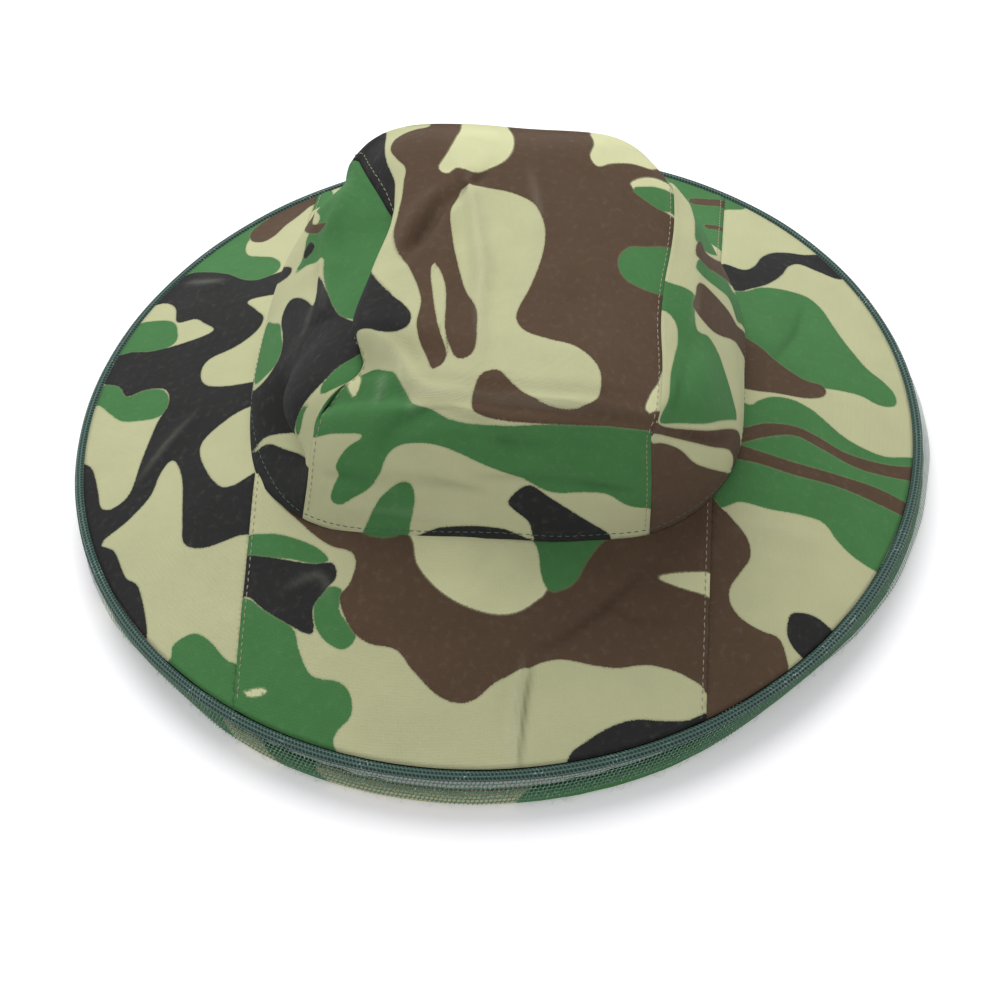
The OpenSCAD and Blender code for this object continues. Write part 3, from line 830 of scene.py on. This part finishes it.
def crown_side_points(side, strip):
    """Grid of a side panel that meets the strip's edge: rows from hem to seam, columns front to back."""
    edge = strip[:, 0 if side == "left" else -1]
    rise, over, fall = STRIP_ROWS
    seam = edge[rise - 1 : rise - 1 + over]
    rising, falling = edge[:rise], edge[::-1][:fall]
    x0 = edge[0][0]
    sign = -1 if side == "left" else 1
    power = 2 / ROUNDNESS
    start = math.acos((abs(x0 - HEM_CENTRE[0]) / HEM_HALF_WIDTH) ** (1 / power))
    around = np.linspace(-start, start, 400)
    plan = np.column_stack([
        HEM_CENTRE[0] + sign * HEM_HALF_WIDTH * np.cos(around) ** power,
        HEM_CENTRE[1] + HEM_HALF_DEPTH * np.sign(around) * np.abs(np.sin(around)) ** power,
    ])
    plan = resample(plan, SIDE_COLUMNS)
    tops = resample(seam, SIDE_COLUMNS)
    columns = []
    for i, a in enumerate(np.linspace(0, 1, SIDE_COLUMNS)):
        beside = rising if a < 0.5 else falling
        columns.append(side_column(a, hem_point(*plan[i]), tops[i], SIDE_PROFILES[side], beside, rise))
    return np.stack(columns, axis=1)


def flat_cloth(grid):
    """Place of each grid point on the flat cloth: across from the middle column, and up from the hem."""
    across = np.linalg.norm(np.diff(grid, axis=1), axis=2).mean(axis=0)
    across = np.concatenate([[0], np.cumsum(across)])
    up = np.linalg.norm(np.diff(grid, axis=0), axis=2).mean(axis=1)
    return flat_grid(across - across[-1] / 2, np.concatenate([[0], np.cumsum(up)]))


def make_crown(material):
    """The crown's three panels. Returns the grid of each, for what is sewn to it."""
    strip = crown_strip_points()
    shapes = {
        "crown_strip": strip,
        "crown_side_left": crown_side_points("left", strip),
        "crown_side_right": crown_side_points("right", strip),
    }
    grids = {}
    for name, grid in shapes.items():
        cloth_xy = flat_cloth(grid)
        points = roughen(crumple(grid.reshape(-1, 3)), size=34, height=1.3, seed=3)
        grids[name] = points.reshape(grid.shape)
        faces = grid_faces(*grid.shape[:2])
        if name == "crown_side_left":
            faces = [f[::-1] for f in faces]
        piece = new_object(name + "_cloth", points, faces, material, cloth_xy)
        paint(piece, cloth_xy, name)
        store(piece.data, "fold", fold_wear_and_shade(points, CREASES))
        thicken(piece)
        assign(piece, "hat", name)
    return grids


# ---------------------------------------------------------------- brim
def opening_radius(angle):
    """Distance from the middle to the edge of the head opening, along a direction in plan."""
    allowance = 6
    halvings = 24
    c, s = math.cos(angle), math.sin(angle)
    low, high = 40.0, 160.0
    for _ in range(halvings):
        r = (low + high) / 2
        x = abs(r * c - HEM_CENTRE[0]) / (HEM_HALF_WIDTH - allowance)
        y = abs(r * s - HEM_CENTRE[1]) / (HEM_HALF_DEPTH - allowance)
        if x**ROUNDNESS + y**ROUNDNESS < 1:
            low = r
        else:
            high = r
    return low


# Folds of the brim, each as its line in plan, its width and its height.
BRIM_CREASES = [
    ([(23, -138), (21, -150), (20, -164), (19, -182)], 2.4, 2.4),
    ([(26, -138), (24, -150), (23, -164), (22, -184)], 1.6, -2.6),
    ([(26, -136), (46, -122), (70, -98)], 4.5, -1.5),
    ([(-78, -106), (-63, -104), (-57, -116)], 4, 1.1),
    ([(104, -72), (120, -66), (140, -66)], 5, 1.0),
    ([(118, 20), (128, 44), (132, 66)], 5, -1.2),
    ([(-150, 92), (-138, 84), (-128, 80)], 5, 1.8),
    ([(-128, -8), (-140, -22), (-152, -40)], 5, 1.0),
    ([(-30, 120), (0, 128), (36, 130)], 5, 0.9),
    ([(50, -112), (66, -118), (84, -116)], 5, -0.8),
]


def brim_wave(x, y):
    """Height of the brim's soft waves and folds. They die out at the rim, where the hoop holds it."""
    r = np.hypot(x, y)
    free = smooth((BRIM_R - r) / 30)
    a = np.arctan2(y, x)
    waves = 0.9 * np.sin(3 * a + 0.6) + 0.6 * np.sin(7 * a + 2.0) + 0.35 * np.sin(13 * a + r / 30)
    for line, width, height in BRIM_CREASES:
        waves = waves + fold_height(np.column_stack([x, y]), line, width, height)
    return free * waves


def seam_groove(x):
    """The brim dips a little at its two seams, and stands up beside them where the seam's layers lie."""
    away = np.abs(x) - SEAM_X
    return -0.5 * np.exp(-((away / 0.7) ** 2)) + 0.35 * smooth((away + 6) / 1.5) * smooth(-away / 1.0)


def brim_surface(x, y):
    """Height of the brim's upper face."""
    return brim_z(np.hypot(x, y)) + brim_wave(x, y) + seam_groove(x)


def make_brim(material):
    """The brim's four panels, cut from one cone along its two fore-and-aft seams."""
    around, rings = 540, 46
    angles = np.linspace(0, 2 * math.pi, around, endpoint=False)
    inner = np.array([opening_radius(a) for a in angles])
    points = []
    for t in np.linspace(0, 1, rings):
        r = mix(inner, BRIM_R + 0.3, t)
        points.append(np.column_stack([r * np.cos(angles), r * np.sin(angles), np.zeros(around)]))
    flat = new_object("brim", np.vstack(points), grid_faces(rings, around, closed=True))
    bm = bmesh.new()
    bm.from_mesh(flat.data)
    for x in (-SEAM_X, SEAM_X):
        geometry = bm.verts[:] + bm.edges[:] + bm.faces[:]
        bmesh.ops.bisect_plane(bm, geom=geometry, plane_co=(x * MM, 0, 0), plane_no=(1, 0, 0), dist=1e-6)
    tests = {
        "brim_left_panel": lambda c: c.x < -SEAM_X * MM,
        "brim_right_panel": lambda c: c.x > SEAM_X * MM,
        "brim_front_panel": lambda c: abs(c.x) < SEAM_X * MM and c.y < 0,
        "brim_back_panel": lambda c: abs(c.x) < SEAM_X * MM and c.y > 0,
    }
    for name, belongs in tests.items():
        part = bm.copy()
        outside = [f for f in part.faces if not belongs(f.calc_center_median())]
        bmesh.ops.delete(part, geom=outside, context="FACES")
        mesh = bpy.data.meshes.new(name)
        part.to_mesh(mesh)
        part.free()
        co = np.array([v.co for v in mesh.vertices]) / MM
        x, y = co[:, 0], co[:, 1]
        points = np.column_stack([x, y, brim_surface(x, y)])
        faces = [tuple(p.vertices) for p in mesh.polygons]
        panel = new_object(name + "_cloth", points, faces, material, co[:, :2])
        bpy.data.meshes.remove(mesh)
        paint(panel, co[:, :2], name)
        store(panel.data, "fold", fold_wear_and_shade(co[:, :2], BRIM_CREASES))
        thicken(panel)
        assign(panel, "hat", name)
    bm.free()
    bpy.data.objects.remove(flat)


# ---------------------------------------------------------------- stitches
STITCH_PITCH, STITCH_LENGTH, THREAD_R = 3.2, 2.2, 0.18


def stitched(name, node, body, path, normals, material, radius=THREAD_R):
    """A row of stitches along a path: each is a short thread that comes out of the cloth and goes back."""
    along = lengths(path)
    sides, rings = 6, 7
    points, faces = [], []
    for k in range(int(along[-1] / STITCH_PITCH)):
        at = (k + 0.5) * STITCH_PITCH + np.linspace(-0.5, 0.5, rings) * STITCH_LENGTH
        centre = np.column_stack([np.interp(at, along, path[:, i]) for i in range(3)])
        normal = np.array([np.interp(at[rings // 2], along, normals[:, i]) for i in range(3)])
        normal /= np.linalg.norm(normal)
        forward = centre[-1] - centre[0]
        forward /= np.linalg.norm(forward)
        across = np.cross(forward, normal)
        slant = 0.16 * math.sin(k * 2.4)
        base = len(points)
        for i in range(rings):
            t = i / (rings - 1)
            swell = radius * (0.45 + 0.55 * math.sin(math.pi * t) ** 0.5)
            lift = radius * (2.0 * math.sin(math.pi * t) - 0.7)
            middle = centre[i] + normal * lift + across * slant * (2 * t - 1)
            for j in range(sides):
                a = 2 * math.pi * j / sides
                points.append(middle + swell * (math.cos(a) * normal + math.sin(a) * across))
        faces += [tuple(base + i for i in f) for f in grid_faces(rings, sides, closed=True)]
        faces.append(tuple(base + j for j in range(sides)))
        faces.append(tuple(base + (rings - 1) * sides + j for j in reversed(range(sides))))
    assign(new_object(name, points, faces, material), body, node)


def grid_column(grid, column):
    """Points and outward normals along one line of a grid, which may lie between two columns."""
    down, over = np.gradient(grid, axis=0), np.gradient(grid, axis=1)
    normal = np.cross(over, down)
    normal /= np.linalg.norm(normal, axis=2, keepdims=True) + 1e-9
    low = int(column)
    place, out = (mix(v[:, low], v[:, low + 1], column - low) for v in (grid, normal))
    inside_crown = np.array((2, 2, 60))
    return place, out * np.sign(((place - inside_crown) * out).sum())


def crown_loop(grids, rows):
    """Points right round the crown at the given rows above the hem: front, right, back and left."""
    strip, left, right = grids["crown_strip"], grids["crown_side_left"], grids["crown_side_right"]
    lines = []
    for row in rows:
        low, share = int(row), row - int(row)
        front, back, east, west = (
            mix(grid[low], grid[low + 1], share) for grid in (strip, strip[::-1], right, left)
        )
        loop = np.vstack([front[:-1], east[:-1], back[::-1][:-1], west[::-1]])
        lines.append(resample(loop, 300))
    return np.array(lines)


def outward_from_middle(places):
    """Level directions of length one, away from the middle of some places."""
    out = places - places.reshape(-1, 3).mean(axis=0)
    out[..., 2] = 0
    return out / np.linalg.norm(out, axis=-1, keepdims=True)


def stitch_crown(grids, seam_thread, hem_thread):
    """A row beside each seam of the centre strip, and one round the hem."""
    strip = grids["crown_strip"]
    last = strip.shape[1] - 1
    for side, column in (("left", 1.8), ("right", last - 0.85)):
        path, normals = (line[3:-3] for line in grid_column(strip, column))
        name = f"seam_stitches_{side}"
        stitched(name, f"crown_seam_thread_{side}", "hat", path, normals, seam_thread)
    loop = crown_loop(grids, (2.0,))[0]
    outward = outward_from_middle(loop)
    outward[:, 2] = 0.25
    stitched("hem_stitches", "crown_hem_thread", "hat", loop, outward, hem_thread)


def stitch_brim(seam_thread, rim_thread):
    """A row beside each half of the two brim seams, and one round the rim."""
    start, steps = 52, 60
    for side, x in (("left", -SEAM_X + 1.6), ("right", SEAM_X - 1.6)):
        for end, name in ((-1, "front"), (1, "back")):
            x_line = np.full(steps, x)
            y = end * np.linspace(start, math.sqrt(BRIM_R**2 - x**2) - 1, steps)
            path = np.column_stack([x_line, y, brim_surface(x_line, y) + 0.4])
            normals = np.tile((0, end * 0.3, 1.0), (steps, 1))
            node = f"brim_seam_thread_{side}" if end < 0 else None
            stitched(f"brim_stitches_{side}_{name}", node, "hat", path, normals, seam_thread, radius=0.24)
    a = np.linspace(0, 2 * math.pi, 600)
    x, y = (BRIM_R - 0.7) * np.cos(a), (BRIM_R - 0.7) * np.sin(a)
    path = np.column_stack([x, y, brim_surface(x, y) + 0.1])
    stitched("rim_stitches", "rim_thread", "hat", path, np.tile((0, 0, 1.0), (600, 1)), rim_thread)


# ---------------------------------------------------------------- sweatband
def make_sweatband(grids, material, thread):
    """A tape round the inside of the crown, standing on its hem and following its wall."""
    length, near_gap, far_gap, lift = 600, 1.5, 2.5, 0.3
    wall = crown_loop(grids, np.linspace(0.2, 12, 9))
    outward = outward_from_middle(wall)
    near, far = (wall - gap * outward + np.array((0, 0, lift)) for gap in (near_gap, far_gap))
    section = np.concatenate([near, far[::-1], near[:1]])
    around = section.shape[1]
    cloth_xy = flat_grid(np.linspace(0, length, around), lengths(section[:, 0]))
    faces = grid_faces(len(section), around)
    band = new_object("sweatband_tape", section.reshape(-1, 3), faces, material, cloth_xy)
    assign(band, "hat", "sweatband")
    stitched("sweatband_stitches", "sweatband_thread", "hat", far[6], -outward[6], thread)


# ---------------------------------------------------------------- rim and folded veil
AROUND = 480
# Where the rim's band stands out from the hoop or is tucked in: how far, where, and over what angle.
FLARES = [(5.0, 14, 32), (-4.6, -43, 17), (2.2, -88, 24), (-3.2, -134, 12)]
PLEATS, PLEAT_DEPTH, VEIL_INNER = 31, 6.0, 170.0


def bell(a, place, spread):
    """One at a place round the hat, falling to zero on either side. place and spread are in degrees."""
    off = (math.degrees(a) - place + 180) % 360 - 180
    return math.exp(-((off / spread) ** 2))


def flare(a):
    """How far out the lower edge of the rim's band lies, at an angle round the hat."""
    return sum(reach * bell(a, place, spread) for reach, place, spread in FLARES)


def casing_shift(a):
    """How far out the casing lies. It follows the band in, and part of the way out."""
    bulge = 0.8
    return min(flare(a), 0.6 * flare(a)) + bulge


def swept_ring(name, section, material, body, node):
    """A ring whose section may change on its way round: section(a) gives rows of (radius, height)."""
    angles = math.pi / 2 + np.linspace(0, 2 * math.pi, AROUND + 1)
    sections = np.array([section(a) for a in angles])
    r, z = sections[..., 0].T, sections[..., 1].T
    points = np.stack([r * np.cos(angles), r * np.sin(angles), z], axis=2)
    cloth_xy = flat_grid((angles - angles[0]) * RING_R, lengths(sections[0]))
    faces = grid_faces(len(points), AROUND + 1)
    ring = new_object(name, points.reshape(-1, 3), faces, material, cloth_xy)
    return assign(ring, body, node), cloth_xy


def make_tube(material):
    """The knitted tube round the hoop. It is a little lumpy."""
    turn = np.linspace(-2.2, 2 * math.pi - 2.2, 19)

    def section(a):
        r = TUBE_R * (1 + 0.03 * math.sin(9 * a) + 0.02 * math.sin(23 * a + 1))
        return np.column_stack([RING_R + r * np.cos(turn), RING_Z + r * np.sin(turn)])

    swept_ring("rim_tube", section, material, "hat", "rim_binding")


def band_drop(a):
    """Height of the band's lower edge. It hangs a little unevenly, and lets the casing show below it."""
    return 2.4 + 2.6 * bell(a, -90, 45) + 0.5 * math.sin(5 * a + 1) + 0.3 * math.sin(14 * a)


def make_band(material):
    """The net band that hangs from the rim."""

    def section(a):
        t = np.linspace(0, 1, 12)
        wave = 0.35 * math.sin(11 * a) + 0.2 * math.sin(31 * a)
        r = BAND_R - 0.2 + (flare(a) + wave) * t**0.8
        return np.column_stack([r, mix(RING_Z - 0.6, band_drop(a), t)])

    swept_ring("rim_band", section, material, "hat", "veil_band")


# The casing's print, as runs in degrees round from the middle of the front, to the right.
CASING_RUNS = {
    "green": [(-62, -33), (-25, -17), (9, 118), (150, 175), (-120, -95), (-165, -150)],
    "brown": [(118, 140), (-150, -128)],
    "black": [(-80, -66), (176, 184)],
}


def rounded_box(low, high, inner, outer, n=20, power=3.5):
    """A rounded rectangle as (radius, height) rows, from the middle of its inner side and back to it."""
    t = math.pi + np.linspace(0, 2 * math.pi, n + 1)
    c, s = np.cos(t), np.sin(t)
    r = (inner + outer) / 2 + (outer - inner) / 2 * np.sign(c) * np.abs(c) ** (2 / power)
    z = (low + high) / 2 + (high - low) / 2 * np.sign(s) * np.abs(s) ** (2 / power)
    return np.column_stack([r, z])


def make_casing(material):
    """The printed casing along the veil's lower edge, puckered by its elastic."""

    def pucker(a):
        return 0.35 * math.sin(58 * a) + 0.3 * math.sin(83 * a + 1.3)

    def section(a):
        box = rounded_box(0.5, CASING_TOP - 0.5, CASING_R - 4.2, CASING_R - 0.3)
        share = (box[:, 1] / CASING_TOP) ** 2
        box[:, 1] += share * 0.7 * math.sin(6 * a + 2) + 0.2 * pucker(a)
        box[:, 0] += casing_shift(a) + pucker(a) * share
        return box

    casing, cloth_xy = swept_ring("veil_casing", section, material, "veil_edge", "veil_hem")
    turn = np.degrees(cloth_xy[:, 0] / RING_R) + 180
    slant = 2.5 * np.sin(cloth_xy[:, 1] / 6 + np.radians(turn) * 3)
    for layer in LAYERS:
        reach = np.full(len(turn), -float(PRINT_REACH))
        for start, end in CASING_RUNS.get(layer, ()):
            middle, half = (start + end) / 2, (end - start) / 2
            off = np.abs((turn + slant - middle + 180) % 360 - 180)
            reach = np.maximum(reach, np.radians(half - off) * RING_R)
        store(casing.data, "print_" + layer, np.clip(reach, -PRINT_REACH, PRINT_REACH))


def make_elastic(material):
    """The flat elastic inside the casing."""

    def section(a):
        box = rounded_box(ELASTIC_LOW[2], ELASTIC_HIGH[2], ELASTIC_HIGH[0] - 1.4, ELASTIC_HIGH[0], 12, 5)
        box[:, 0] += casing_shift(a)
        return box

    swept_ring("casing_elastic", section, material, "veil_edge", "veil_hem_elastic")


def stitch_casing(thread):
    """A row of stitches round the inner side of the casing."""
    steps = 720
    a = np.linspace(0, 2 * math.pi, steps)
    r = np.array([CASING_R - 4.25 + casing_shift(v) for v in a])
    path = np.column_stack([r * np.cos(a), r * np.sin(a), np.full(steps, CASING_TOP - 3.4)])
    normals = np.column_stack([-np.cos(a), -np.sin(a), 0 * a])
    stitched("casing_stitches", "veil_hem_thread", "veil_edge", path, normals, thread)


def make_fray(material):
    """Loose pale thread ends along the casing's lower edge, where the cloth has frayed."""
    chance = np.random.default_rng(11)
    ends, rings, sides = 170, 6, 4
    points, faces = [], []
    for _ in range(ends):
        a = chance.uniform(0, 2 * math.pi)
        reach, side = chance.uniform(0.8, 2.4), chance.uniform(-2.5, 2.5)
        r = CASING_R - 0.3 + casing_shift(a)
        t = np.linspace(0, 1, rings)
        out = r + reach * t + 0.3 * np.sin(t * 5)
        turn = a + side * t**1.5 / r
        z = 1.6 - 1.3 * t + 0.35 * np.sin(t * 4)
        line = np.column_stack([out * np.cos(turn), out * np.sin(turn), z])
        base = len(points)
        for i, centre in enumerate(line):
            thick = 0.12 * (1 - 0.6 * i / (rings - 1))
            for j in range(sides):
                b = 2 * math.pi / sides * j
                round_it = (math.cos(b) * math.cos(a), math.cos(b) * math.sin(a), math.sin(b))
                points.append(centre + thick * np.array(round_it))
        faces += [tuple(base + k for k in f) for f in grid_faces(rings, sides, closed=True)]
    assign(new_object("casing_fray", points, faces, material), "veil_edge", None)


def make_veil(material):
    """The veil's mesh, in fine pleats inside the rim."""
    top, bottom = MESH_HIGH[2] - 0.2, MESH_LOW[2] + 0.3
    rows = 2 * PLEATS + 1
    share = np.linspace(0, 1, rows)
    # Heights that spread out evenly once the lower edge has dropped, undoing the smooth turn of a blend.
    level = 0.5 - np.sin(np.arcsin(1 - 2 * share) / 3)
    zigzag = np.abs((np.arange(rows) / 2) % 1 - 0.5) * 2

    def section(a):
        wander = 1.2 * np.sin(3 * a + share * 9) + 0.7 * np.sin(17 * a + share * 23)
        depth = PLEAT_DEPTH * (0.85 + 0.15 * math.sin(29 * a))
        end = np.minimum(1, 6 * np.minimum(share, 1 - share))
        r = VEIL_INNER + depth * zigzag + wander * end + 3 * (1 - end)
        return np.column_stack([r, mix(top, bottom, level)])

    veil, _ = swept_ring("veil_net", section, material, None, "veil_mesh")
    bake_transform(veil)


# ---------------------------------------------------------------- materials of the rim and the small parts
def net(name, across, up, thread_share, dark, light, sparkle):
    """Knitted net with real holes between its threads."""
    s = Shader(name)
    place = s.attribute("cloth", "Vector")
    hole = s.holes(place, across, up)
    opening = s.ramp(hole, thread_share, thread_share + 0.08)
    # Painted highlights: pale glints on some of the threads.
    shine = s.times(s.ramp(s.noise(place, 0.9, 3), 0.55, 0.7), sparkle)
    colour = s.mix(s.noise(place, 0.5, 4), dark, light)
    colour = s.mix(shine, colour, (0.72, 0.78, 0.72))
    s.plug(s.surface.inputs["Alpha"], s.math("SUBTRACT", 1.0, opening))
    height = s.math("SUBTRACT", 1.0, hole)
    return s.finish(colour, s.ramp(s.noise(place, 0.7), 0.3, 0.7, 0.5, 0.7), height, 0.3, 0.7, specular=0.2)


def knit(name, across, up, dark, light, glint):
    """Close knitted tube: its holes painted near black as painted shade from inside the tube, with pale
    threads between and painted highlights on a few that catch the light.
    """
    s = Shader(name)
    place = s.attribute("cloth", "Vector")
    hole = s.holes(place, across, up)
    strand = s.ramp(s.noise(place, 2.0, 3), 0.3, 0.7)
    colour = s.mix(strand, light, tuple(v * 0.6 for v in light))
    # Painted highlights: a few threads in patches turn pale.
    patches = s.ramp(s.noise(place, 0.05, 2), 0.5, 0.62)
    glinting = s.times(patches, s.ramp(s.noise(place, 0.9, 4), 0.52, 0.68))
    colour = s.mix(s.times(glinting, 0.6), colour, glint)
    # Painted shade: the holes take a near-black colour, the shade inside the tube.
    colour = s.mix(s.ramp(hole, 0.22, 0.62), colour, dark)
    height = s.math("SUBTRACT", 1.0, hole)
    return s.finish(colour, s.ramp(hole, 0.1, 0.6, 0.4, 0.8), height, 0.5, 0.8, specular=0.4)


def twisted_thread(name, pale, deep):
    """Sewing thread with fine fibres."""
    s = Shader(name)
    place = s.object_place()
    fibre = s.noise(place, 2600, 3)
    colour = s.mix(fibre, deep, pale)
    colour = s.mix(s.times(s.noise(place, 60, 3), 0.3), colour, deep)
    return s.finish(colour, s.ramp(fibre, 0.3, 0.7, 0.55, 0.8), fibre, 0.08, 0.6, sheen=0.2)


def tape():
    """Cotton twill tape of the sweatband."""
    s = Shader("sweatband_twill")
    place = s.attribute("cloth", "Vector")
    turned = s.node("ShaderNodeMapping")
    s.plug(turned.inputs["Vector"], place)
    turned.inputs["Rotation"].default_value = (0, 0, math.radians(58))
    twill = s.threads(turned.outputs[0], 1.1, "X")
    colour = s.mix(s.noise(place, 0.1, 4), (0.40, 0.41, 0.30), (0.30, 0.32, 0.22))
    colour = s.mix(s.times(twill, 0.25), colour, (0.12, 0.13, 0.09))
    height = s.plus(twill, s.times(s.noise(place, 1.8, 3), 0.5))
    return s.finish(colour, s.ramp(twill, 0, 1, 0.7, 0.9), height, 0.3, 0.6, sheen=0.1)


def ribbed_elastic():
    """White braided elastic with ribs across it."""
    s = Shader("elastic_braid")
    place = s.attribute("cloth", "Vector")
    ribs = s.threads(place, 0.9, "X")
    colour = s.mix(s.times(ribs, 0.5), (0.75, 0.75, 0.72), (0.5, 0.5, 0.48))
    colour = s.mix(s.times(s.noise(place, 0.2, 3), 0.3), colour, (0.6, 0.58, 0.5))
    return s.finish(colour, s.ramp(ribs, 0, 1, 0.7, 0.55), ribs, 0.3, 0.6)


def drawn_metal(name, colour, scratched, roughness):
    """Wire or sleeve metal with faint drawing lines and dull patches."""
    s = Shader(name)
    place = s.object_place()
    patches = s.noise(place, 90, 4)
    fine = s.noise(place, 1500, 2)
    s.surface.inputs["Metallic"].default_value = 1.0
    base = s.mix(patches, colour, scratched)
    dull = s.ramp(patches, 0.3, 0.7, roughness, roughness + 0.2)
    return s.finish(base, dull, fine, 0.03, 0.3, specular=0.5)


def dress_cad_nodes():
    """Materials of the CAD nodes that stay as they are: the spring-wire hoop and its joining sleeve."""
    wire = drawn_metal("spring_steel", (0.34, 0.34, 0.35), (0.18, 0.17, 0.16), 0.28)
    sleeve = drawn_metal("sleeve_zinc", (0.55, 0.55, 0.56), (0.36, 0.36, 0.37), 0.35)
    for node, material in (("rim_hoop", wire), ("hoop_sleeve", sleeve)):
        for holder in bpy.data.objects[node].material_slots:
            holder.link = "OBJECT"
            holder.material = material


# ---------------------------------------------------------------- the whole hat
make_camera()
make_stage()

cloth = printed_cloth()
thread = twisted_thread("pale_thread", (0.42, 0.38, 0.27), (0.22, 0.19, 0.12))
loose_thread = twisted_thread("frayed_thread", (0.66, 0.64, 0.50), (0.42, 0.40, 0.28))
dark_thread = twisted_thread("green_thread", (0.10, 0.18, 0.14), (0.04, 0.08, 0.06))
knitted = knit("rim_knit", 1.6, 1.8, (0.010, 0.034, 0.026), (0.075, 0.155, 0.125), (0.50, 0.62, 0.57))
band_net = net("band_net", 1.8, 2.2, 0.3, (0.045, 0.105, 0.075), (0.11, 0.21, 0.145), 0.4)
veil_net = net("veil_net_mesh", 1.9, 2.3, 0.3, (0.010, 0.020, 0.014), (0.03, 0.045, 0.035), 0.1)

grids = make_crown(cloth)
make_brim(cloth)
stitch_crown(grids, thread, dark_thread)
stitch_brim(thread, dark_thread)
make_sweatband(grids, tape(), thread)
make_tube(knitted)
make_band(band_net)
make_casing(cloth)
make_elastic(ribbed_elastic())
stitch_casing(thread)
make_fray(loose_thread)
make_veil(veil_net)
dress_cad_nodes()
